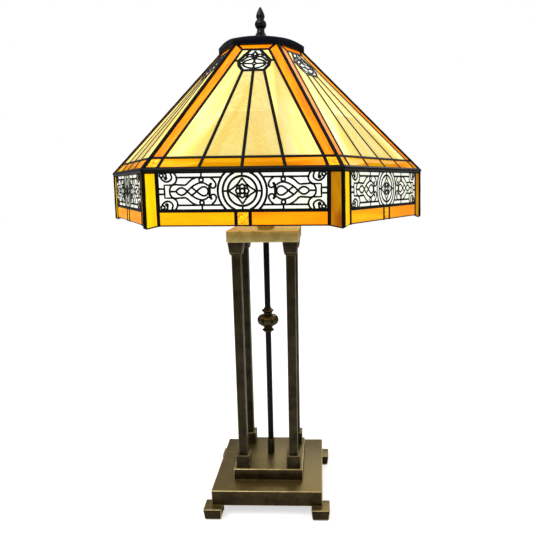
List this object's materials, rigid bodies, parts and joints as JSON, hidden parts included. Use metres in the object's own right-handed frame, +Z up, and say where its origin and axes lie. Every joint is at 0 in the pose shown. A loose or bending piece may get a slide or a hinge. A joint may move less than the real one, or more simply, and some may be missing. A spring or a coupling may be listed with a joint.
{
  "type": "stained glass table lamp",
  "caption": "Table lamp with a six-sided leaded glass shade, filigree skirt and a square four-column bronze stand.",
  "frame": {"origin": "centre of the footprint, on the surface that the felt pads rest on", "axes": "+Z up along the centre tube, front of the lamp towards -Y"},
  "size_m": [0.4102, 0.361, 0.6549],
  "materials": {
    "antique_bronze": "satin",
    "slab_bronze": "satin",
    "dark_bronze": "satin",
    "cast_iron": "matte",
    "black_sheet": "satin",
    "black_cast": "satin",
    "black_lead": "satin",
    "black_filigree": "satin",
    "steel": "satin",
    "brass": "satin",
    "felt": "matte",
    "porcelain": "gloss",
    "black_plastic": "gloss",
    "frosted_glass": "matte",
    "cream_glass": "gloss",
    "amber_glass": "gloss",
    "honey_glass": "gloss",
    "mottled_glass": "gloss",
    "milk_glass": "gloss"
  },
  "bodies": {
    "base": {"base_shell": "antique_bronze", "ballast_block": "cast_iron", "bottom_cover": "black_sheet", "foot_screws": "steel", "foot_pads": "felt", "plinth": "antique_bronze", "foot_front_left": "antique_bronze", "foot_front_right": "antique_bronze", "foot_rear_left": "antique_bronze", "foot_rear_right": "antique_bronze", "column_front_left": "dark_bronze", "column_front_right": "dark_bronze", "column_rear_left": "dark_bronze", "column_rear_right": "dark_bronze", "column_shoes": "dark_bronze", "column_capitals": "dark_bronze", "tie_rods": "steel", "tie_rod_nuts": "steel", "top_slab": "slab_bronze", "centre_tube": "black_sheet", "tube_ferrule": "dark_bronze", "centre_knop": "antique_bronze", "tube_nut": "steel", "neck_flange": "antique_bronze", "stem_sleeve": "antique_bronze", "cluster_body": "brass", "socket_liners": "porcelain", "shade_rod": "brass", "shade_rest_nut": "brass", "socket_shell_left": "brass", "socket_shell_right": "brass", "cord_bushing": "black_plastic", "lamp_wires": "black_plastic"},
    "bulb_left": {"bulb_glass_left": "frosted_glass", "bulb_cap_left": "steel"},
    "bulb_right": {"bulb_glass_right": "frosted_glass", "bulb_cap_right": "steel"},
    "shade": {"spider": "brass", "top_ring": "brass", "slope_came": "black_lead", "skirt_came": "black_lead", "ridge_beads": "black_lead", "waist_bead": "black_lead", "bottom_rim": "black_lead", "cream_panes": "cream_glass", "crown_panes": "amber_glass", "ridge_strips": "amber_glass", "border_panes": "amber_glass", "mottled_squares": "mottled_glass", "corner_strips": "honey_glass", "skirt_panes": "amber_glass", "filigree_glass": "milk_glass", "skirt_filigree": "black_filigree", "crest_filigree": "black_filigree"},
    "heat_cap": {"heat_cap": "black_sheet"},
    "finial": {"finial": "black_cast"}
  },
  "joints": [
    {"name": "shade_lift", "type": "slide", "parent": "base", "child": "shade", "axis": [0, 0, 1], "range_m": [0, 0.25]},
    {"name": "cap_lift", "type": "slide", "parent": "shade", "child": "heat_cap", "axis": [0, 0, 1], "range_m": [0, 0.03]},
    {"name": "finial_unscrew", "type": "hinge", "parent": "heat_cap", "child": "finial", "pos_m": [0, 0, 0.63], "axis": [0, 0, 1], "range_deg": [0, 2880]},
    {"name": "bulb_left_unscrew", "type": "hinge", "parent": "base", "child": "bulb_left", "pos_m": [0, 0, 0.425], "axis": [-0.9659, 0, 0.2588], "range_deg": [0, 1440]},
    {"name": "bulb_right_unscrew", "type": "hinge", "parent": "base", "child": "bulb_right", "pos_m": [0, 0, 0.425], "axis": [0.9659, 0, 0.2588], "range_deg": [0, 1440]}
  ]
}
